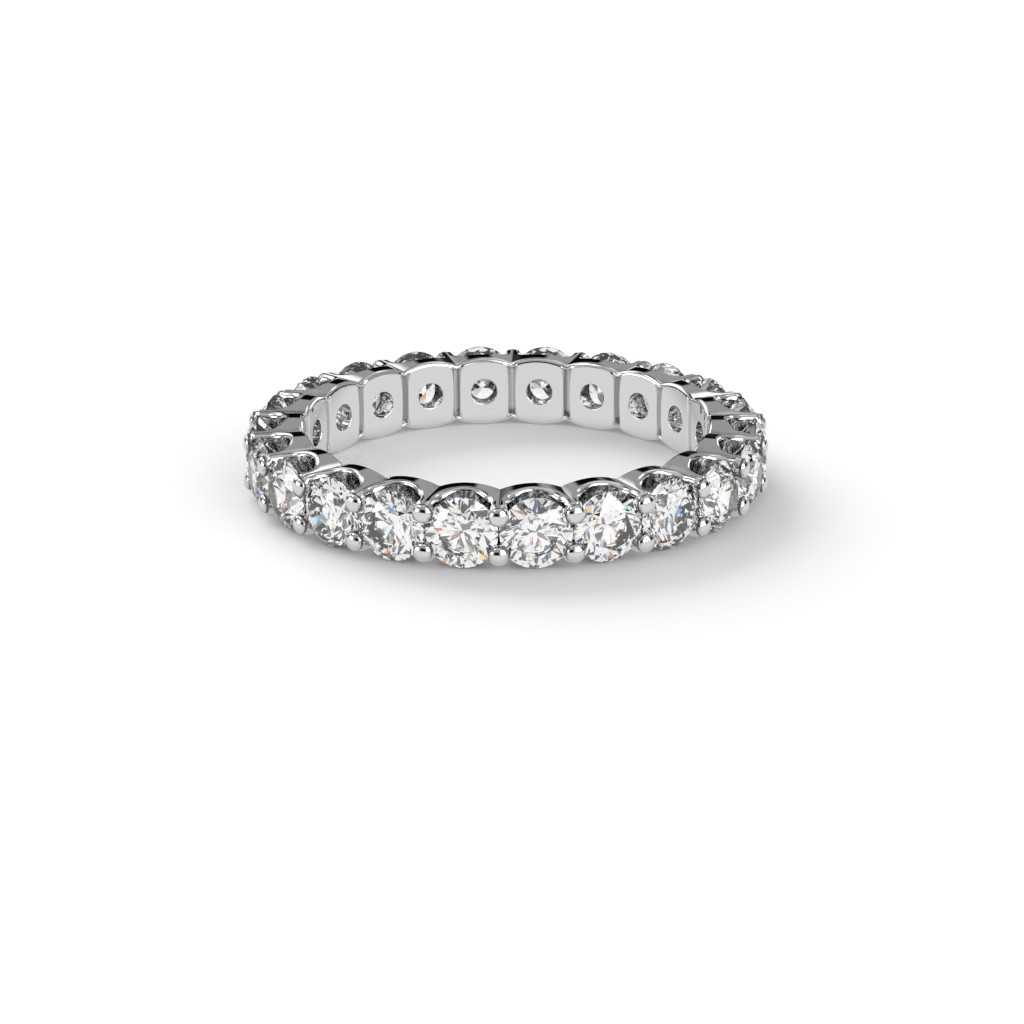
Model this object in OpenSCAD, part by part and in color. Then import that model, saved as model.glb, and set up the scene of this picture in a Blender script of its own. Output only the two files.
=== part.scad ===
// Full eternity ring: round brilliants of one size all the way round, each pair of neighbours sharing
// an upper and a lower prong, over a band with a scalloped edge and an open hole behind each stone.
// Millimetres. The origin is the middle of the finger hole and +Z runs along the finger.

/* [Finger] */
// Inside diameter of the ring
finger_d = 16.5; // [14.5:0.1:20]

/* [Stones] */
// Diameter of each stone at its girdle
stone_d = 2.87; // [2.5:0.01:3.2]
// Gap between the girdles of neighbouring stones
stone_gap = 0.04; // [0.02:0.01:0.12]
// Thickness of the girdle where it is thickest
girdle_t = 0.09; // [0.07:0.01:0.12]
// Width of the flat table across its corners
table_d = 1.64; // [1.4:0.01:1.8]
// Slope of the crown's main facets in degrees
crown_angle = 34.5; // [32:0.5:36]
// Slope of the pavilion's main facets in degrees
pavilion_angle = 40.8; // [40:0.1:42]
// How far the star facets reach from the table towards the girdle, as a share
star_reach = 0.5; // [0.4:0.05:0.6]
// How far the lower half facets reach from the girdle towards the point, as a share
lower_reach = 0.77; // [0.7:0.01:0.85]

/* [Band] */
// Least metal and air between the finger and a stone's point
point_rise = 0.4; // [0.3:0.05:0.6]
// Thickness of the base under the middle of a stone
base_t = 0.76; // [0.6:0.01:0.9]
// Radius of the arch that each edge makes over a stone
arch_r = 3.4; // [3:0.1:5]
// Lean of each edge outwards from the finger in degrees
edge_lean = 1; // [0:0.5:4]
// Bevel that eases both edges of the bore
edge_bevel = 0.2; // [0.1:0.01:0.3]

/* [Inside face] */
// Diameter of the open hole behind each stone
hole_d = 1.1; // [0.8:0.05:1.3]
// Width of the tapering grooves between the panels, at the inside face
groove_w = 0.28; // [0.2:0.01:0.4]
// Width of a groove at its floor
groove_floor = 0.06; // [0.04:0.01:0.12]
// Depth of a groove
groove_depth = 0.42; // [0.3:0.01:0.5]
// How far both ends of a groove stop below the valley between two arches
groove_stop = 0.13; // [0.1:0.01:0.3]

/* [Prongs] */
// Thickness of a prong, which is a round rod
prong_d = 0.79; // [0.7:0.01:0.88]
// How far a prong reaches in over the edge of a stone
prong_bite = 0.157; // [0.1:0.01:0.2]
// Height of a prong's tip above the middle of the girdle
prong_rise = 0.62; // [0.5:0.01:0.75]
// Rounding of a prong's tip
tip_round = 0.24; // [0.15:0.01:0.3]
// How far a prong stands proud of the valley between two arches
prong_proud = 0.03; // [0.01:0.01:0.06]
// Thickness of the wall between the openings for two stones
wall_t = 0.72; // [0.6:0.01:0.85]
// How far that wall stops below the middle of the girdle
wall_drop = 0.12; // [0.1:0.01:0.25]
// Width of the trough between an upper and a lower prong
trough_w = 0.72; // [0.5:0.01:0.8]
// How far the floor of that trough lies below the middle of the girdle
trough_drop = 0.52; // [0.4:0.01:0.7]
// Clearance between a stone and its metal
seat_clear = 0.03; // [0.02:0.005:0.05]

/* [Hidden] */
$fn = 96;
MAINS = 8;
GIRDLE_SIDES = 32;
finger_r = finger_d / 2;
stone_r = stone_d / 2;
table_r = table_d / 2;
prong_r = prong_d / 2;
half_girdle = girdle_t / 2;
crown_top = half_girdle + (stone_r - table_r) * tan(crown_angle);
pavilion_h = half_girdle + stone_r * tan(pavilion_angle);

// The stones stand side by side on the smallest circle that keeps their points off the finger.
half_pitch = (stone_d + stone_gap) / 2;
count = ceil(180 / atan(half_pitch / (finger_r + point_rise + pavilion_h)));
pitch = 360 / count;
girdle_r = half_pitch / tan(pitch / 2);

floor_r = finger_r + base_t;
wall_r = girdle_r - wall_drop;
trough_r = girdle_r - trough_drop;
opening_r = half_pitch - wall_t / 2;

// A prong lies on the line between two stones, as far up it as its reach over both edges allows.
prong_reach = stone_r + prong_r - prong_bite;
prong_z = sqrt(prong_reach * prong_reach - half_pitch * half_pitch);
valley_z = prong_z + prong_r - prong_proud;
arch_sag = arch_r - sqrt(arch_r * arch_r - half_pitch * half_pitch);
crest_z = valley_z + arch_sag - (girdle_r - finger_r) * tan(edge_lean);

// Reach of the cutting shapes past what they cut
over = 1;
// Half width of a block, which runs a little into its neighbours
block_half = half_pitch + prong_r / 2;
// Where a prong starts, inside the wall
prong_root = (floor_r + trough_r) / 2;

function stone_name(k) = str("stone_", k < 10 ? "0" : "", k);

// Stone k of the row, counted from the front, with its axis along local +X
module at_stone(k) rotate(-90 + (k - 0.5) * pitch) children();

// Turns a shape made along +Z so that it points outwards along +X
module outwards() rotate([0, 90, 0]) children();

// Points of a brilliant, ring by ring from the table down: its axis is +Z and its girdle is at z = 0
function ring(n, r, z, turn = 0) = [for (i = [0:n - 1])
    let (a = i * 360 / n + turn) [r * cos(a), r * sin(a), z]];

// Height on a main facet above (or below) the girdle, at radius r and an angle from the facet's middle
function main_h(r, off, slope) = half_girdle + (stone_r - r * cos(off)) * tan(slope);

// A half facet is flat between its tip and two points of the girdle, so the girdle's edge dips between
// those two by what the circle bulges past their chord, times the facet's slope.
function half_h(tip_r, tip_h) =
    let (
        off = 180 / MAINS,
        chord = stone_r * cos(off / 2),
        tip_in = tip_r * cos(off / 2),
        slope = (tip_h - half_girdle) / (chord - tip_in)
    )
    half_girdle - (stone_r - chord) * slope;

// One side of the brilliant as faces of point numbers, for a tip ring and a girdle ring that follow it
function half_faces(tips, edge) = [for (i = [0:MAINS - 1])
    let (
        a = edge + 4 * i,
        n = edge + (4 * i + 4) % GIRDLE_SIDES
    )
    each [
        [tips + i, a, a + 1, a + 2],
        [tips + i, a + 2, a + 3, n]
    ]];

module brilliant() {
    off = 180 / MAINS;
    star_r = table_r * cos(off) + star_reach * (stone_r - table_r * cos(off));
    star_h = main_h(star_r, off, crown_angle);
    low_r = (1 - lower_reach) * stone_r;
    low_h = main_h(low_r, off, pavilion_angle);
    crown_dip = half_h(star_r, star_h);
    pavilion_dip = half_h(low_r, low_h);
    upper_edge = [for (i = [0:GIRDLE_SIDES - 1])
        let (a = i * 360 / GIRDLE_SIDES)
        [stone_r * cos(a), stone_r * sin(a), i % 2 == 0 ? half_girdle : crown_dip]];
    lower_edge = [for (i = [0:GIRDLE_SIDES - 1])
        let (a = i * 360 / GIRDLE_SIDES)
        [stone_r * cos(a), stone_r * sin(a), i % 2 == 0 ? -half_girdle : -pavilion_dip]];
    points = concat(
        ring(MAINS, table_r, crown_top),
        ring(MAINS, star_r, star_h, off),
        upper_edge,
        lower_edge,
        ring(MAINS, low_r, -low_h, off),
        [[0, 0, -pavilion_h]]
    );
    stars = MAINS;
    upper = stars + MAINS;
    lower = upper + GIRDLE_SIDES;
    lows = lower + GIRDLE_SIDES;
    culet = lows + MAINS;
    crown_faces = concat(
        [[for (i = [0:MAINS - 1]) i]],
        [for (i = [0:MAINS - 1]) [(i + 1) % MAINS, i, stars + i]],
        [for (i = [0:MAINS - 1]) [i, stars + (i + MAINS - 1) % MAINS, upper + 4 * i, stars + i]],
        half_faces(stars, upper)
    );
    girdle_faces = [for (i = [0:GIRDLE_SIDES - 1])
        let (n = (i + 1) % GIRDLE_SIDES)
        [upper + n, upper + i, lower + i, lower + n]];
    pavilion_faces = concat(
        [for (f = half_faces(lows, lower)) [for (i = [len(f) - 1:-1:0]) f[i]]],
        [for (i = [0:MAINS - 1]) [culet, lows + i, lower + 4 * i, lows + (i + MAINS - 1) % MAINS]]
    );
    outward = concat(crown_faces, girdle_faces, pavilion_faces);
    polyhedron(points, [for (f = outward) [for (i = [len(f) - 1:-1:0]) f[i]]]);
}

module stone(k) color("white") at_stone(k) translate([girdle_r, 0, 0]) outwards() brilliant();

// The space a stone needs: its own outline turned about its axis, larger all over by the clearance
module stone_room() {
    room_r = stone_r + seat_clear;
    room_top = crown_top + seat_clear;
    below = seat_clear / cos(pavilion_angle);
    above = seat_clear / cos(crown_angle);
    translate([girdle_r, 0, 0])
    outwards()
    rotate_extrude() polygon([
        [0, -pavilion_h - below],
        [room_r, -half_girdle + seat_clear * tan(pavilion_angle) - below],
        [room_r, half_girdle - seat_clear * tan(crown_angle) + above],
        [stone_r - (room_top - above - half_girdle) / tan(crown_angle), room_top],
        [0, room_top]
    ]);
}

// One edge of the band is a barrel that lies outwards through each stone's place.
module barrel() {
    translate([finger_r, 0, crest_z - arch_r])
    rotate([0, 90 - edge_lean, 0])
    translate([0, 0, -over])
        cylinder(r = arch_r, h = girdle_r - finger_r + 2 * over);
}

// The metal round one stone, before it is hollowed: every second one is a little longer at both ends
module block(longer) {
    start = finger_r - over / 2 - longer;
    intersection() {
        barrel();
        mirror([0, 0, 1]) barrel();
        translate([start, -block_half, -crest_z - over])
            cube([wall_r + over / 2 + longer - start, 2 * block_half, 2 * (crest_z + over)]);
    }
}

// Eases one edge of the bore all the way round
module bore_cone() {
    lip_z = crest_z - edge_bevel;
    translate([0, 0, lip_z])
        cylinder(r1 = finger_r, r2 = finger_r + over, h = over);
}

// The round-bottomed opening between two prongs and the hole to the finger
module opening() {
    translate([floor_r + opening_r, 0, 0])
        cylinder(r = opening_r, h = 2 * (crest_z + over), center = true);
    translate([finger_r - over, 0, 0]) outwards()
        cylinder(d = hole_d, h = base_t + 2 * over);
}

// The groove between two panels of the inside face, along the line between two stones: both of its
// ends are closed by the band's edge
module groove() {
    spread = (groove_w - groove_floor) / groove_depth;
    mouth = groove_w + spread * over;
    linear_extrude(height = 2 * (valley_z - groove_stop), center = true) polygon([
        [finger_r - over, mouth / 2],
        [finger_r + groove_depth, groove_floor / 2],
        [finger_r + groove_depth, -groove_floor / 2],
        [finger_r - over, -mouth / 2]
    ]);
}

module tube(inner, outer, height) {
    difference() {
        cylinder(r = outer, h = height, center = true);
        cylinder(r = inner, h = height + over, center = true);
    }
}

// A round rod with a domed tip, lying outwards on the line between two stones
module prong() {
    tip_r = girdle_r + prong_rise;
    translate([prong_root, 0, prong_z])
    outwards()
    rotate_extrude() {
        square([prong_r, tip_r - tip_round - prong_root]);
        square([prong_r - tip_round, tip_r - prong_root]);
        translate([prong_r - tip_round, tip_r - tip_round - prong_root])
            intersection() {
                circle(r = tip_round);
                square(tip_round + over);
            }
    }
}

// The upper and lower prong on one line
module prong_pair() {
    prong();
    mirror([0, 0, 1]) prong();
}

// The scalloped band without its prongs
module band() {
    difference() {
        intersection() {
            union() for (k = [1:count]) at_stone(k) block(k % 2 == 0 ? over / 5 : 0);
            tube(finger_r, wall_r, 4 * crest_z);
        }
        bore_cone();
        mirror([0, 0, 1]) bore_cone();
        for (k = [1:count]) at_stone(k) opening();
        for (k = [1:count]) at_stone(k + 0.5) groove();
        tube(trough_r, wall_r + over, trough_w);
    }
}

// The seats are cut last, through prongs and walls together, as a setter cuts them.
module setting() color("silver") {
    difference() {
        union() {
            band();
            for (k = [1:count]) at_stone(k + 0.5) prong_pair();
        }
        for (k = [1:count]) at_stone(k) stone_room();
    }
}

setting();
for (k = [1:count]) stone(k);
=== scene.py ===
"""Full eternity ring on its side: 22 round brilliants in shared prongs on a scalloped band."""

import math

import bpy
import numpy as np
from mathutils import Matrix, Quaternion, Vector


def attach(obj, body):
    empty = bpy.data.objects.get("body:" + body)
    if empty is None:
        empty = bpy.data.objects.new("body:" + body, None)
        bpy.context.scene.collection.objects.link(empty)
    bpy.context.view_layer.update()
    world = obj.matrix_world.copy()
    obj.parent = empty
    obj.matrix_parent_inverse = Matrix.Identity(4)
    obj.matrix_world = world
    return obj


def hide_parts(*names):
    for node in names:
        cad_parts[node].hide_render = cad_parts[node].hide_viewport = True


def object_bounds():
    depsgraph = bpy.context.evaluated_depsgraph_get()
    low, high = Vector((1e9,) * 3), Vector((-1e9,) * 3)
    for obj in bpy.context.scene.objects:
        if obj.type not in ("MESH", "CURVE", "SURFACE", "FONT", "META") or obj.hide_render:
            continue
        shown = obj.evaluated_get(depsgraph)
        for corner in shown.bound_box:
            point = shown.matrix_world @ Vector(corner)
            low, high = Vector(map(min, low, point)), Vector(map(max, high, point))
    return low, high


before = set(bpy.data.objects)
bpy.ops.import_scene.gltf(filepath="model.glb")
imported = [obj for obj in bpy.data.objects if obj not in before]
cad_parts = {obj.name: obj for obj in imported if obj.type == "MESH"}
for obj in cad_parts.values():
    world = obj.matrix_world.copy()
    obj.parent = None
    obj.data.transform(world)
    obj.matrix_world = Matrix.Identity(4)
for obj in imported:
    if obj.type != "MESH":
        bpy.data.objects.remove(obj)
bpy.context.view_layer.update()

# ---------------------------------------------------------------------------------------------
# Setting: band and prongs, one casting in white gold
# The real piece is cast whole, its stone seats are cut with a bur and the prong tips are pushed
# over the stones and domed. Everything is polished to a mirror, so every edge is a little soft.
# ---------------------------------------------------------------------------------------------
MM = 0.001
STONES = 22
HALF = math.pi / STONES  # half the angle from one stone to the next

# Lengths are in mm. Radii are from the finger's axis, and heights from the ring's middle plane.
FINGER_R = 8.25  # inside face
FACE_TOP = 1.475  # height of an arch's crest, at the next radius
FACE_TOP_R = 8.4
FLARE = math.tan(math.radians(1.0))  # the edges lean outwards
ARCH_R = 3.4  # radius of the arch over a stone, which is true at the next radius
ARCH_TRUE_R = 9.3
EDGE_SOFT = 0.19  # edge radius between the inside face and the arches

CUP_R = 1.08  # round-bottomed opening between two prongs
CUP_MID = 10.1  # radius that its middle lies at
CUP_SOFT = 0.17  # its edge radius by the stone's middle
CUP_SOFTER = (0.3, 1.05)  # it doubles between these distances from there
WALL_TOP = 10.0  # the wall between two openings stops here
WALL_SOFT = 0.04
TROUGH_R = 9.6  # floor of the trough between an upper and a lower prong
TROUGH_HALF = 0.40  # half its width
TROUGH_SOFT = 0.05
HOLE_R = 0.55  # open hole behind each stone
HOLE_SOFT = 0.04

GROOVE_HALF = 0.14  # half width of the tapering groove at the inside face
GROOVE_END = 0.03  # and at its floor
GROOVE_FLOOR = 8.67
GROOVE_CORNER = 0.03
GROOVE_RIM = 0.2  # metal over its two ends
GROOVE_LIP = 0.03  # edge radius of its lips at mid height
GROOVE_LIP_GROWS = 0.09  # what is added to that, times the height squared

PRONG_R = 0.395
PRONG_Z = 0.79  # height of its axis
PRONG_ROOT = 9.3  # where it starts, inside the wall
PRONG_FOOT = 0.03  # radius of the corner between prong and band
ARM_R = 0.36  # the band's arm goes on round the prong as far as this, then slopes down
ARM_END = 10.46
ARM_SLOPE = 1.3
ARM_FOOT = 0.1
PRONG_SHOULDER = 10.5
PRONG_TIP = 0.24  # height of the dome on that shoulder

GIRDLE_R = 10.12  # stones' girdle plane
HALF_GIRDLE = 0.045
STONE_R = 1.435
CROWN = math.radians(34.5)
PAVILION = math.radians(40.8)
SEAT_GAP = 0.012  # between stone and metal


def round_max(a, b, r):
    """Both shapes' common part, with an edge of radius r."""
    return np.minimum(-r, np.maximum(a, b)) + np.hypot(np.maximum(r + a, 0), np.maximum(r + b, 0))


def round_min(a, b, r):
    """Both shapes together, with an inner corner of radius r."""
    return np.maximum(r, np.minimum(a, b)) - np.hypot(np.maximum(r - a, 0), np.maximum(r - b, 0))


def smooth_step(x, low, high):
    t = np.clip((x - low) / (high - low), 0, 1)
    return t * t * (3 - 2 * t)


def metal_depth(angle, rho, z):
    """Distance in mm to the metal's skin, below 0 inside it.

    angle runs from 0 on a prong's line to HALF at the next stone's middle.
    """
    z = np.abs(z)
    prong_u, prong_x = rho * np.sin(angle), rho * np.cos(angle)
    stone_u, stone_x = rho * np.sin(HALF - angle), rho * np.cos(HALF - angle)
    # inside face and arched edge, whose arches widen a little with the radius
    crest = FACE_TOP + (stone_x - FACE_TOP_R) * FLARE
    widened = stone_u * (0.5 + 0.5 * ARCH_TRUE_R / rho)
    edge = np.hypot(widened, z - crest + ARCH_R) - ARCH_R
    body = round_max(FINGER_R - rho, edge, EDGE_SOFT)
    # tapering groove on the prong's line
    taper = (GROOVE_HALF - GROOVE_END) / (GROOVE_FLOOR - FINGER_R)
    groove = (GROOVE_END + (GROOVE_FLOOR - prong_x) * taper - prong_u) / math.hypot(1, taper)
    groove = round_min(groove, GROOVE_FLOOR - rho, GROOVE_CORNER)
    groove = np.minimum(groove, -edge - GROOVE_RIM)
    body = round_max(body, groove, GROOVE_LIP + GROOVE_LIP_GROWS * z * z)
    # opening: a cylinder through the band that goes on straight between the prongs
    cup_u, cup_x = CUP_MID * math.sin(HALF), CUP_MID * math.cos(HALF)
    opening = CUP_R - np.hypot(prong_u - cup_u, np.minimum(prong_x - cup_x, 0))
    body = round_max(body, opening, CUP_SOFT + CUP_SOFT * smooth_step(stone_u, *CUP_SOFTER))
    # outer end of the walls and, round each prong, of the arms
    across = np.hypot(prong_u, z - PRONG_Z)
    arm = prong_x - ARM_END + ARM_SLOPE * np.maximum(across - ARM_R, 0)
    arm = arm / math.hypot(1, ARM_SLOPE)
    body = round_max(body, round_min(rho - WALL_TOP, arm, ARM_FOOT), WALL_SOFT)
    body = round_max(body, np.minimum(rho - TROUGH_R, TROUGH_HALF - z), TROUGH_SOFT)
    body = round_max(body, HOLE_R - np.hypot(stone_u, z), HOLE_SOFT)
    # prong: a round rod with a low dome
    along = np.maximum(prong_x - PRONG_SHOULDER, 0)
    k0 = np.hypot(across / PRONG_R, along / PRONG_TIP)
    k1 = np.hypot(across / PRONG_R**2, along / PRONG_TIP**2)
    dome = k0 * (k0 - 1) / np.maximum(k1, 1e-6)
    rod = np.where(prong_x > PRONG_SHOULDER, dome, across - PRONG_R)
    rod = np.maximum(rod, PRONG_ROOT - prong_x)
    body = round_min(body, rod, PRONG_FOOT)
    # the stone's seat
    out, up = np.hypot(stone_u, z) - STONE_R, stone_x - GIRDLE_R
    crown = out * math.sin(CROWN) + (up - HALF_GIRDLE) * math.cos(CROWN)
    pavilion = out * math.sin(PAVILION) - (up + HALF_GIRDLE) * math.cos(PAVILION)
    stone = np.maximum(np.maximum(crown, out), pavilion)
    return np.maximum(body, SEAT_GAP - stone)


def edge_ends(axis, inside=()):
    """Where each grid edge along axis starts and ends, without the border of the axes inside."""
    near = [slice(1, -1) if i in inside else slice(None) for i in range(3)]
    far = list(near)
    near[axis], far[axis] = slice(0, -1), slice(1, None)
    return tuple(near), tuple(far)


def skin(field, step, low, high):
    """Vertices and quads of field = 0 on a grid of (angle, radius, height).

    Each cell that the surface crosses has one vertex, in the middle of its edges' crossings.
    """
    counts = [round((high[i] - low[i]) / step[i]) + 2 for i in range(3)]
    axes = [low[i] + step[i] * (np.arange(counts[i]) - 0.5) for i in range(3)]
    grid = np.stack(np.meshgrid(*axes, indexing="ij"), -1)
    value = field(grid[..., 0], grid[..., 1], grid[..., 2])
    cells = tuple(n - 1 for n in value.shape)
    total, hits = np.zeros(cells + (3,)), np.zeros(cells)
    for axis in range(3):
        near, far = edge_ends(axis)
        start, end = value[near], value[far]
        crossed = (start < 0) != (end < 0)
        share = np.where(crossed, start / np.where(crossed, start - end, 1), 0)
        point = grid[near] + share[..., None] * (grid[far] - grid[near])
        point = np.where(crossed[..., None], point, 0)
        others = [i for i in range(3) if i != axis]
        for shifts in ((0, 0), (0, 1), (1, 0), (1, 1)):
            pick = [slice(None)] * 3
            for other, shift in zip(others, shifts):
                pick[other] = slice(shift, shift + cells[other])
            total += point[tuple(pick)]
            hits += crossed[tuple(pick)]
    used = hits > 0
    index = np.full(cells, -1)
    index[used] = np.arange(used.sum())
    points = total[used] / hits[used][:, None]
    quads = []
    for axis in range(3):
        others = (axis + 1) % 3, (axis + 2) % 3
        near, far = edge_ends(axis, others)
        start, end = value[near], value[far]
        for leaving in (True, False):
            hit = np.argwhere((start < 0) & (end >= 0) if leaving else (start >= 0) & (end < 0))
            ring = []
            for shifts in ((0, 0), (1, 0), (1, 1), (0, 1)):
                cell = hit.copy()
                for other, shift in zip(others, shifts):
                    cell[:, other] += shift
                ring.append(index[tuple(cell.T)])
            ring = np.stack(ring, 1)
            quads.append(ring[:, ::-1] if leaving else ring)
    return points, np.concatenate(quads)


def slope(p, eps=0.002):
    """Outward direction of the metal's skin at points (angle, radius, height).

    It is given as (turn, radial, axial), measured over eps mm to both sides.
    """
    out = []
    for i in range(3):
        d = np.zeros_like(p)
        d[:, i] = eps / p[:, 1] if i == 0 else eps
        out.append((metal_depth(*(p + d).T) - metal_depth(*(p - d).T)) / (2 * eps))
    return np.stack(out, 1)


LEAST_SLOPE = 0.3  # the square of the field's slope counts as at least this
LONGEST_MOVE = 0.02
SETTLE_STEPS = 3


def settle(p, reach):
    """Moves points (angle, radius, height) onto the skin.

    Those within reach of a plane of symmetry go into it.
    """
    planes = p[:, 0] * p[:, 1] < reach, (HALF - p[:, 0]) * p[:, 1] < reach, p[:, 2] < reach
    for _ in range(SETTLE_STEPS):
        depth, g = metal_depth(*p.T), slope(p)
        move = depth / np.maximum((g * g).sum(1), LEAST_SLOPE)
        move = np.clip(move, -LONGEST_MOVE, LONGEST_MOVE)
        p = p - np.stack([g[:, 0] * move / p[:, 1], g[:, 1] * move, g[:, 2] * move], 1)
        p[planes[0], 0], p[planes[1], 0], p[planes[2], 2] = 0, HALF, 0
    return p


def to_polar(xyz):
    x, y, z = xyz.T
    return np.stack([np.arctan2(y, x), np.hypot(x, y), z], 1)


def to_xyz(polar):
    angle, rho, z = polar.T
    return np.stack([rho * np.cos(angle), rho * np.sin(angle), z], 1)


def object_of(name, mesh):
    """A new object in the scene."""
    obj = bpy.data.objects.new(name, mesh)
    bpy.context.scene.collection.objects.link(obj)
    return obj


def mesh_of(name, points, faces):
    mesh = bpy.data.meshes.new(name)
    mesh.from_pydata(points.tolist(), [], faces.tolist())
    mesh.validate()
    return mesh


def read_mesh(mesh):
    """Vertices and triangles of a mesh."""
    mesh.calc_loop_triangles()
    points = np.empty(len(mesh.vertices) * 3)
    mesh.vertices.foreach_get("co", points)
    faces = np.empty(len(mesh.loop_triangles) * 3, int)
    mesh.loop_triangles.foreach_get("vertices", faces)
    return points.reshape(-1, 3), faces.reshape(-1, 3)


def baked(obj):
    """The object's mesh with its modifiers applied, and the modifiers gone."""
    shown = obj.evaluated_get(bpy.context.evaluated_depsgraph_get())
    mesh = bpy.data.meshes.new_from_object(shown)
    obj.modifiers.clear()
    return mesh


# A quarter of one stone's share of the setting, from a prong's line to the stone's middle, upper
# half: finely skinned, then thinned where it is flat.
FINE = (HALF / 56, 0.025, 0.025)  # the grid's steps
FIELD_LOW, FIELD_HIGH = (0, 8.1, 0), (HALF, 10.9, 1.6)  # the box that holds the quarter
KEPT_FACES = 2240
FINE_REACH, THIN_REACH = 1e-4, 0.006  # for settle, before and after the thinning
points, quads = skin(metal_depth, FINE, FIELD_LOW, FIELD_HIGH)
points = settle(points, FINE_REACH)
quarter = object_of("quarter", mesh_of("quarter", to_xyz(points), quads))
thin = quarter.modifiers.new("thin", "DECIMATE")
thin.ratio = KEPT_FACES / (2 * len(quads))
points, faces = read_mesh(baked(quarter))
points = to_xyz(settle(to_polar(points), THIN_REACH))
bpy.data.objects.remove(quarter)

# Mirrored to both edges of the band and to both sides of the stone, in metres
lower = points * (1, 1, -1)
c, s = math.cos(2 * HALF), math.sin(2 * HALF)
over_stone = np.array([[c, s, 0], [s, -c, 0], [0, 0, 1]]).T
share_points = np.concatenate([points, lower, points @ over_stone, lower @ over_stone]) * MM
n = len(points)
turned_over = faces[:, ::-1]
share_faces = np.concatenate([faces, turned_over + n, turned_over + 2 * n, faces + 3 * n])


def feed(tree, socket, value):
    """Sets a socket to a value, or links another node's output to it."""
    if isinstance(value, bpy.types.NodeSocket):
        tree.links.new(value, socket)
    else:
        socket.default_value = value


def add_node(tree, kind, inputs=(), **settings):
    """A new node. inputs says what feeds each of its sockets, by name or number."""
    node = tree.nodes.new(kind)
    for name, value in settings.items():
        setattr(node, name, value)
    for name, value in dict(inputs).items():
        feed(tree, node.inputs[name], value)
    return node


def math_node(tree, operation, *values):
    """A Math node's result; each value is a number or another node's output."""
    return add_node(tree, "ShaderNodeMath", enumerate(values), operation=operation).outputs[0]


# Inputs of the ring's node group: name, kind and value
RING_INPUTS = [
    ("Count", "NodeSocketInt", STONES),
    ("First", "NodeSocketFloat", -math.pi / 2),  # direction of the first prong's line
    ("Weld", "NodeSocketFloat", 2e-7),  # metres
]


def ring_of_shares():
    """Turns one share about the finger's axis Count times, welds the copies and adds the metal."""
    group = bpy.data.node_groups.new("ring of stone seats", "GeometryNodeTree")
    new_socket = group.interface.new_socket
    new_socket(name="Geometry", in_out="INPUT", socket_type="NodeSocketGeometry")
    for name, kind, value in RING_INPUTS:
        new_socket(name=name, in_out="INPUT", socket_type=kind).default_value = value
    new_socket(name="Metal", in_out="INPUT", socket_type="NodeSocketMaterial")
    new_socket(name="Geometry", in_out="OUTPUT", socket_type="NodeSocketGeometry")
    given = add_node(group, "NodeGroupInput").outputs
    step = math_node(group, "DIVIDE", 2 * math.pi, given["Count"])
    number = add_node(group, "GeometryNodeInputIndex").outputs[0]
    angle = math_node(group, "MULTIPLY_ADD", number, step, given["First"])
    turned = add_node(group, "ShaderNodeCombineXYZ", {"Z": angle}).outputs[0]
    line = {"Count": given["Count"], "Offset": (0, 0, 0)}
    spots = add_node(group, "GeometryNodeMeshLine", line).outputs["Mesh"]
    placed = {"Points": spots, "Instance": given["Geometry"], "Rotation": turned}
    shape = add_node(group, "GeometryNodeInstanceOnPoints", placed).outputs[0]
    for kind, inputs in (
        ("GeometryNodeRealizeInstances", {}),
        ("GeometryNodeMergeByDistance", {"Distance": given["Weld"]}),
        ("GeometryNodeSetMaterial", {"Material": given["Metal"]}),
    ):
        shape = add_node(group, kind, {"Geometry": shape, **inputs}).outputs["Geometry"]
    add_node(group, "NodeGroupOutput", {"Geometry": shape})
    return group


def set_input(modifier, name, value):
    """A modifier's input is set by its socket's identifier."""
    for item in modifier.node_group.interface.items_tree:
        if item.item_type == "SOCKET" and item.in_out == "INPUT" and item.name == name:
            modifier[item.identifier] = value


def ramp(tree, value, low, high, at_low, at_high):
    """Runs softly from at_low to at_high while value goes from low to high."""
    ends = {"From Min": low, "From Max": high, "To Min": at_low, "To Max": at_high}
    inputs = {"Value": value, **ends}
    return add_node(tree, "ShaderNodeMapRange", inputs, interpolation_type="SMOOTHSTEP").outputs[0]


def fade(tree, value, start, end):
    """0 before start and 1 past end, or the other way round where end is the smaller."""
    if start < end:
        return ramp(tree, value, start, end, 0, 1)
    return ramp(tree, value, end, start, 1, 0)


def noise(tree, place, scale, detail):
    inputs = {"Vector": place, "Scale": scale, "Detail": detail}
    return add_node(tree, "ShaderNodeTexNoise", inputs).outputs[0]


def mix_colours(tree, factor, first, second):
    """first where factor is 0 and second where it is 1."""
    mix = add_node(tree, "ShaderNodeMix", {"Factor": factor}, data_type="RGBA")
    sockets = [socket for socket in mix.inputs if socket.type == "RGBA"]
    for socket, value in zip(sockets, (first, second)):
        feed(tree, socket, value)
    return next(socket for socket in mix.outputs if socket.type == "RGBA")


def principled(name, looks):
    """A new material, with these values on its shader's sockets."""
    material = bpy.data.materials.new(name)
    material.use_nodes = True
    tree = material.node_tree
    for socket, value in looks.items():
        feed(tree, tree.nodes["Principled BSDF"].inputs[socket], value)
    return material


# Painted shade, with added roughness: the line round a prong's tip, the walls by a stone, a groove,
# and the groove's ends. Each follows some measures, in mm: none of it at the first value, all at the
# second. "aside" is the distance from the line through an upper and a lower prong.
IN_GROOVE = [("radius", FINGER_R + 0.01, FINGER_R + 0.04), ("radius", 8.8, 8.7)]
SEAT_MASKS = {
    "Line": [("from prong", PRONG_R - 0.025, PRONG_R - 0.005), ("radius", 10.45, 10.48)],
    "Walls": [("from stone", 1.5, 1.3), ("radius", 8.5, 8.75), ("aside", 0.2, 0.3)],
    "Groove": IN_GROOVE + [("aside", 0.26, 0.2)],
    "Ends": IN_GROOVE + [("aside", 0.34, 0.28), ("height", 0.84, 0.94), ("height", 1.12, 1.04)],
}


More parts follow.
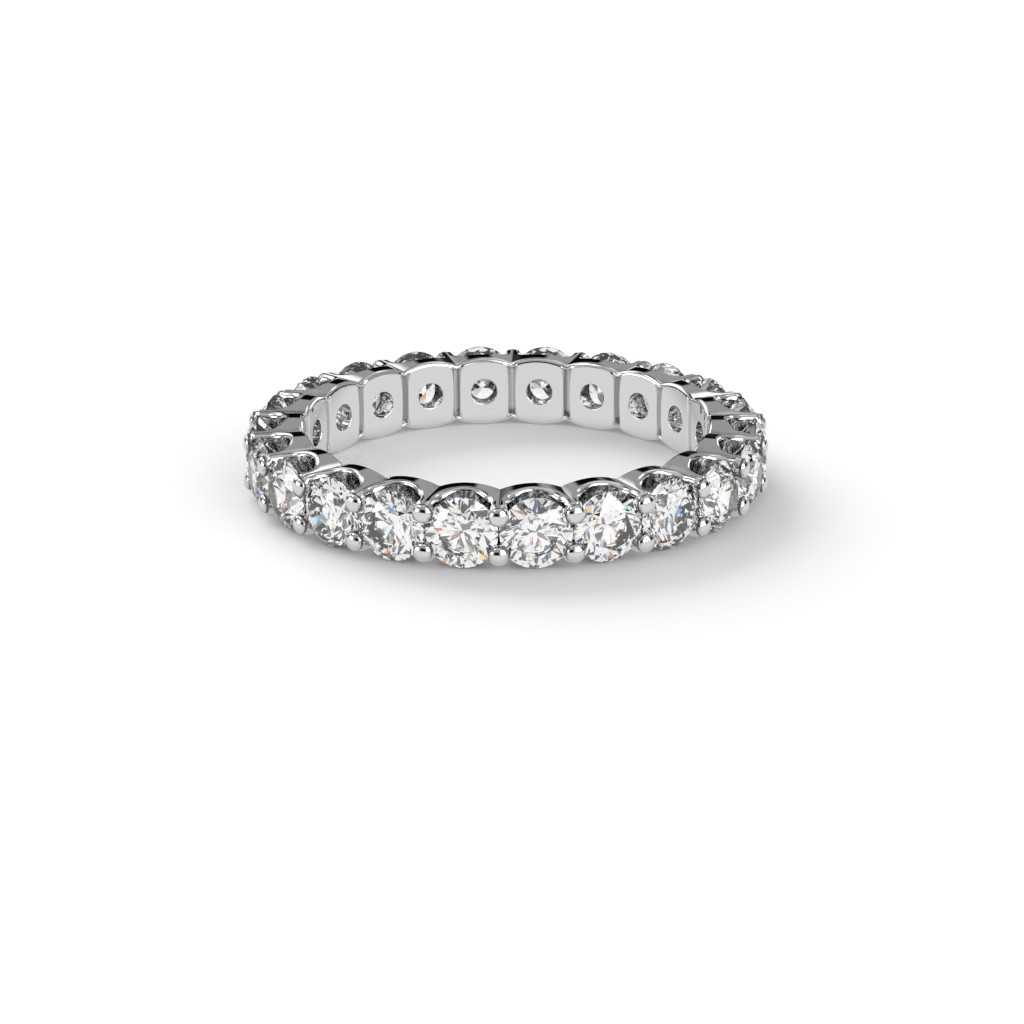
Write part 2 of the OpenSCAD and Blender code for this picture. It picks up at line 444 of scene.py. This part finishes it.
def seat_lines():
    """The masks of SEAT_MASKS for painted shade and roughness, from 0 to 1."""
    group = bpy.data.node_groups.new("seat lines", "ShaderNodeTree")

    def calc(operation, *values):
        return math_node(group, operation, *values)

    def length(a, b):
        return calc("SQRT", calc("ADD", calc("POWER", a, 2), calc("POWER", b, 2)))

    place = add_node(group, "ShaderNodeTexCoord").outputs["Object"]
    split = add_node(group, "ShaderNodeSeparateXYZ", {0: place})
    x, y, z = (calc("MULTIPLY", split.outputs[i], 1 / MM) for i in range(3))
    radius, height = length(x, y), calc("ABSOLUTE", z)
    turn = calc("ADD", calc("ARCTAN2", y, x), math.pi / 2)
    turn = calc("ABSOLUTE", calc("WRAP", turn, -HALF, HALF))
    aside = calc("MULTIPLY", radius, calc("SINE", turn))
    from_line = calc("MULTIPLY", radius, calc("SINE", calc("SUBTRACT", HALF, turn)))
    measures = {
        "radius": radius,
        "height": height,
        "aside": aside,
        "from prong": length(aside, calc("SUBTRACT", height, PRONG_Z)),
        "from stone": length(from_line, height),
    }
    result = {}
    for name, limits in SEAT_MASKS.items():
        group.interface.new_socket(name=name, in_out="OUTPUT", socket_type="NodeSocketFloat")
        parts = [fade(group, measures[measure], start, end) for measure, start, end in limits]
        result[name] = parts[0]
        for part in parts[1:]:
            result[name] = calc("MULTIPLY", result[name], part)
    add_node(group, "NodeGroupOutput", result)
    return group


WHITE_GOLD = (0.86, 0.86, 0.865, 1)
GRAIN = 9000.0  # noise scales, per metre
HAZE = 700.0
POLISH = 0.015  # least roughness
HAZE_ROUGH = 0.03  # what the haze adds to it
MASK_ROUGH = {"Walls": 0.1, "Ends": 0.3, "Line": 0.25}
MOTTLE = (0.62, 0.42)  # grain values between which a wall turns from bright to painted shade


def polished_metal():
    material = principled("polished white gold", {"Metallic": 1.0})
    tree = material.node_tree
    masks = add_node(tree, "ShaderNodeGroup", node_tree=seat_lines()).outputs
    place = add_node(tree, "ShaderNodeTexCoord").outputs["Object"]
    # painted shade over each mask below; on the walls by the stones it comes in mottled patches
    mottle = fade(tree, noise(tree, place, GRAIN, detail=1.0), *MOTTLE)
    colour = WHITE_GOLD
    # painted shade: each colour darkens the metal over its mask
    for painted_shade, mask in (
        ((0.2, 0.2, 0.21, 1), masks["Line"]),
        ((0.76, 0.76, 0.76, 1), masks["Groove"]),
        ((0.26, 0.26, 0.265, 1), math_node(tree, "MULTIPLY", masks["Walls"], mottle)),
        ((0.74, 0.74, 0.745, 1), masks["Ends"]),
    ):
        colour = mix_colours(tree, mask, colour, painted_shade)
    # polish: a haze that comes and goes, and the faintest waves left by the felt wheel
    haze = noise(tree, place, HAZE, detail=3.0)
    rough = math_node(tree, "MULTIPLY_ADD", haze, HAZE_ROUGH, POLISH)
    for name, added in MASK_ROUGH.items():
        rough = math_node(tree, "MULTIPLY_ADD", masks[name], added, rough)
    waves = {"Strength": 0.25, "Distance": 0.5e-6, "Height": haze}
    normal = add_node(tree, "ShaderNodeBump", waves).outputs[0]
    shader = tree.nodes["Principled BSDF"]
    for name, value in {"Base Color": colour, "Roughness": rough, "Normal": normal}.items():
        feed(tree, shader.inputs[name], value)
    return material


CORNER_SHARE = 0.8  # a corner's normal is taken this far out from its face's middle
CREASE = math.cos(math.radians(24))  # normals that differ by more are split
LEVEL = math.cos(math.radians(6))  # a face whose corners differ by less is level


def crisp_normals(mesh):
    """Normals from the true shape: smooth over soft edges, split where it has a crease."""
    points, faces = read_mesh(mesh)
    points = points / MM
    middle = points[faces].mean(1)

    def true_normal(xyz):
        angle, rho, z = to_polar(xyz).T
        share = np.mod(angle + math.pi / 2, 2 * HALF)
        far = share > HALF
        g = slope(np.stack([np.where(far, 2 * HALF - share, share), rho, np.abs(z)], 1))
        g[:, 0] *= np.where(far, -1, 1)
        g[:, 2] *= np.sign(z + 1e-9)
        x = g[:, 1] * np.cos(angle) - g[:, 0] * np.sin(angle)
        y = g[:, 1] * np.sin(angle) + g[:, 0] * np.cos(angle)
        normal = np.stack([x, y, g[:, 2]], 1)
        return normal / np.linalg.norm(normal, axis=1, keepdims=True)

    smooth = true_normal(points)
    corner_at = CORNER_SHARE * points[faces] + (1 - CORNER_SHARE) * middle[:, None]
    corners = true_normal(corner_at.reshape(-1, 3)).reshape(faces.shape + (3,))
    spread = np.ones(len(points))
    for i in range(3):
        np.minimum.at(spread, faces[:, i], (corners[:, i] * smooth[faces[:, i]]).sum(1))
    crease = spread[faces] < CREASE
    normals = np.where(crease[..., None], corners, smooth[faces])
    # a face that is level inside keeps its own slope up to its corners, where a soft edge begins
    apart = np.min([(corners[:, i] * corners[:, i - 1]).sum(1) for i in range(3)], 0)
    inner = corners.mean(1, keepdims=True)
    level = (apart > LEVEL)[:, None, None]
    normals = np.where(level, inner + (corners - inner) / CORNER_SHARE, normals)
    mesh.polygons.foreach_set("use_smooth", [True] * len(mesh.polygons))
    mesh.normals_split_custom_set(normals.reshape(-1, 3).tolist())


share = object_of("share", mesh_of("share", share_points, share_faces))
ring_up = share.modifiers.new("ring up", "NODES")
ring_up.node_group = ring_of_shares()
for name, kind, value in RING_INPUTS:
    set_input(ring_up, name, value)
set_input(ring_up, "Metal", polished_metal())
setting = object_of("polished_setting", baked(share))
bpy.data.objects.remove(share)
crisp_normals(setting.data)
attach(setting, "root")
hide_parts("setting")

# ---------------------------------------------------------------------------------------------
# Stones: 22 round brilliant diamonds
# Each is cut to 57 facets and sits in the seats of its four prongs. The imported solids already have
# the facets, so they keep their meshes and get the look of diamond.
# ---------------------------------------------------------------------------------------------
DIAMOND = {
    "Base Color": (1, 1, 1, 1),
    "Roughness": 0.0,
    "IOR": 2.417,
    "Transmission Weight": 1.0,
}

stone_look = principled("diamond", DIAMOND)
for k in range(1, STONES + 1):
    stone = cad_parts["stone_%02d" % k]
    stone.data.materials.clear()
    stone.data.materials.append(stone_look)
    stone.data.shade_flat()

# ---------------------------------------------------------------------------------------------
# Studio: a plain pale floor and soft light
# Polished metal and diamond show what stands round them, so white boards, black flags and a grey
# tent do. The camera and the floor see only plain white and a soft light from the back left.
# ---------------------------------------------------------------------------------------------
TENT = 0.43  # brightness of the grey tent
BOARD = 4.5  # of a white board
# Boards and flags: middle (turn from the front, height), half size and soft edge, all in
# degrees, and brightness. They were placed after rough maps of the directions that the
# photograph's reflections come from.
AROUND = [
    ("ceiling", (0, 90), (181, 30), 8, 0.7),
    ("board front right, low", (45, 14), (29, 9), 2, BOARD),
    ("board front right, high", (46, 38), (26, 9), 3, BOARD),
    ("board left, low", (-69, 13), (17, 10), 3, BOARD),
    ("board left, high", (-84, 55), (22, 5), 3, BOARD),
    ("board back left", (-135, 30), (24, 15), 5, 1.8),
    ("board back right, low", (144, 14), (12, 4), 2, BOARD),
    ("board back right, high", (150, 53), (18, 5), 3, 1.8),
    ("flag front", (-16, 14), (20, 13), 3, 0.01),
    ("flag right", (97, 14), (15, 12), 5, 0.02),
    ("flag back, soft", (-165, 5), (14, 11), 6, 0.06),
    ("flag back, low", (180, 3), (15, 7), 3, 0.02),
    ("flag back", (-175.5, 8), (6.5, 17), 1.5, 0.003),
    ("flag left", (-110, 10), (9, 9), 4, 0.05),
    ("flag overhead, back", (-150, 66), (26, 8), 4, 0.03),
]
BOARD_INPUTS = ("Middle Turn", "Middle Height", "Half Width", "Half Height", "Edge")


def board_group():
    """How much of a soft-edged board lies in a direction, from 0 to 1."""
    group = bpy.data.node_groups.new("board", "ShaderNodeTree")
    for name in ("Turn", "Height", *BOARD_INPUTS):
        group.interface.new_socket(name=name, in_out="INPUT", socket_type="NodeSocketFloat")
    group.interface.new_socket(name="Cover", in_out="OUTPUT", socket_type="NodeSocketFloat")
    given = add_node(group, "NodeGroupInput").outputs

    def calc(operation, *values):
        return math_node(group, operation, *values)

    across = calc("SUBTRACT", given["Turn"], given["Middle Turn"])
    across = calc("ABSOLUTE", calc("WRAP", across, -180, 180))
    up = calc("ABSOLUTE", calc("SUBTRACT", given["Height"], given["Middle Height"]))
    sides = []
    for reach, half in ((across, given["Half Width"]), (up, given["Half Height"])):
        near, far = calc("SUBTRACT", half, given["Edge"]), calc("ADD", half, given["Edge"])
        sides.append(ramp(group, reach, near, far, 1, 0))
    add_node(group, "NodeGroupOutput", {"Cover": calc("MULTIPLY", *sides)})
    return group


PATCH_EDGE = (0.4, 0.46)  # noise values between which a patch turns from dark to light


def patchwork(tree, place, scale, dark, light, spread):
    """Light and dark patches for the stones to break up.

    Red, green and blue lie a little apart, as diamond spreads them.
    """
    parts = add_node(tree, "ShaderNodeCombineColor")
    for i in range(3):
        moved = {0: place, 1: (i * spread, i * spread, i * spread)}
        moved = add_node(tree, "ShaderNodeVectorMath", moved).outputs[0]
        lit = fade(tree, noise(tree, moved, scale, detail=0.0), *PATCH_EDGE)
        feed(tree, parts.inputs[i], math_node(tree, "MULTIPLY_ADD", lit, light - dark, dark))
    return parts.outputs[0]


FLOOR_SIZE = 3.0  # metres
UNDER_R = 9.5 * MM  # painted shadow: the floor is darkest in a ring of this radius
UNDER_FADE = (0.5 * MM, 3.0 * MM)  # and lightens between these distances from it
UNDER_TONES = (0.5, 0.76)
FLOOR_LOOK = {
    "Base Color": (0.8, 0.8, 0.8, 1),
    "Roughness": 1.0,
    "Specular IOR Level": 0.0,
}

floor_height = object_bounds()[0][2]
bpy.ops.mesh.primitive_plane_add(size=FLOOR_SIZE, location=(0, 0, floor_height))
floor = bpy.context.object
floor.name = "floor"
paint = principled("white floor", FLOOR_LOOK)
tree = paint.node_tree
matt = tree.nodes["Principled BSDF"].outputs[0]
# Metal sees the floor as a plain glowing tone with a painted shadow just under the ring, and rays
# that leave a stone see glowing light and dark patches on it.
where = add_node(tree, "ShaderNodeTexCoord").outputs["Object"]
from_middle = add_node(tree, "ShaderNodeVectorMath", {0: where}, operation="LENGTH")
away = math_node(tree, "SUBTRACT", from_middle.outputs["Value"], UNDER_R)
away = math_node(tree, "ABSOLUTE", away)
# painted shadow under the ring, seen only in reflections
painted_shadow = ramp(tree, away, *UNDER_FADE, *UNDER_TONES)
patches = patchwork(tree, where, scale=560.0, dark=0.26, light=1.12, spread=0.00003)
rays = add_node(tree, "ShaderNodeLightPath").outputs
shown = mix_colours(tree, rays["Is Transmission Ray"], painted_shadow, patches)
even = add_node(tree, "ShaderNodeEmission", {"Color": shown}).outputs[0]
plain = math_node(tree, "MAXIMUM", rays["Is Camera Ray"], rays["Is Diffuse Ray"])
picked = add_node(tree, "ShaderNodeMixShader", {0: plain, 1: even, 2: matt}).outputs[0]
feed(tree, tree.nodes["Material Output"].inputs["Surface"], picked)
floor.data.materials.append(paint)

SKY_STRENGTH = 0.8  # of all that the world shows
world = bpy.data.worlds.new("studio")
bpy.context.scene.world = world
world.use_nodes = True
tree = world.node_tree
tree.nodes.clear()
around = add_node(tree, "ShaderNodeTexCoord").outputs["Generated"]
split = add_node(tree, "ShaderNodeSeparateXYZ", {0: around}).outputs
forward = math_node(tree, "MULTIPLY", split["Y"], -1)
turn = math_node(tree, "DEGREES", math_node(tree, "ARCTAN2", split["X"], forward))
height = math_node(tree, "DEGREES", math_node(tree, "ARCSINE", split["Z"]))
board = board_group()
shade = add_node(tree, "ShaderNodeValue").outputs[0]
shade.default_value = TENT
for name, middle, half, edge, brightness in AROUND:
    inputs = {"Turn": turn, "Height": height, **dict(zip(BOARD_INPUTS, (*middle, *half, edge)))}
    cover = add_node(tree, "ShaderNodeGroup", inputs, node_tree=board, label=name).outputs[0]
    layers = {"Factor": cover, "A": shade, "B": brightness}
    shade = add_node(tree, "ShaderNodeMix", layers).outputs["Result"]
# Rays that leave a stone see patches, and the floor and the camera see plain white.
patches = patchwork(tree, around, scale=9.0, dark=0.2, light=1.45, spread=0.0022)
seen_by = {
    "Is Transmission Ray": patches,
    "Is Diffuse Ray": (0.93, 0.93, 0.93, 1),
    "Is Camera Ray": (1, 1, 1, 1),
}
rays = add_node(tree, "ShaderNodeLightPath").outputs
for ray, seen in seen_by.items():
    shade = mix_colours(tree, rays[ray], shade, seen)
sky = add_node(tree, "ShaderNodeBackground", {"Color": shade, "Strength": SKY_STRENGTH})
add_node(tree, "ShaderNodeOutputWorld", {"Surface": sky.outputs[0]})
bpy.context.scene.view_settings.view_transform = "Standard"

SUN_FROM = Vector((-0.5, 0.8, 0.35))
SUN_ENERGY, SUN_ANGLE = 3.7, math.radians(50)
sun = bpy.data.lights.new("soft sun", "SUN")
sun.energy, sun.angle = SUN_ENERGY, SUN_ANGLE
lamp = object_of("soft sun", sun)
lamp.rotation_euler = SUN_FROM.to_track_quat("Z", "Y").to_euler()
lamp.visible_glossy = lamp.visible_transmission = False

# ---------------------------------------------------------------------------------------------
# Camera: the photograph's view, 18 degrees above the floor through a long lens
# ---------------------------------------------------------------------------------------------
ELEVATION, AZIMUTH = math.radians(18.25), math.radians(1.711)
DISTANCE = 0.17202  # metres
AIM = Vector((0.22, -2.468, 0))  # the picture's middle, in mm right of the ring's and above it
ROLL = math.radians(-0.22)

lens = bpy.data.cameras.new("camera")
lens.lens, lens.sensor_width = 148.0, 36.0
lens.clip_start, lens.clip_end = 0.01, 20.0
camera = object_of("camera", lens)
flat = math.cos(ELEVATION)
out = Vector((math.sin(AZIMUTH) * flat, -math.cos(AZIMUTH) * flat, math.sin(ELEVATION)))
camera.location = out * DISTANCE
aim = (out.to_track_quat("Z", "Y").to_matrix() @ AIM) * MM
facing = (camera.location - aim).to_track_quat("Z", "Y")
camera.rotation_euler = (facing @ Quaternion((0, 0, 1), ROLL)).to_euler()
bpy.context.scene.camera = camera
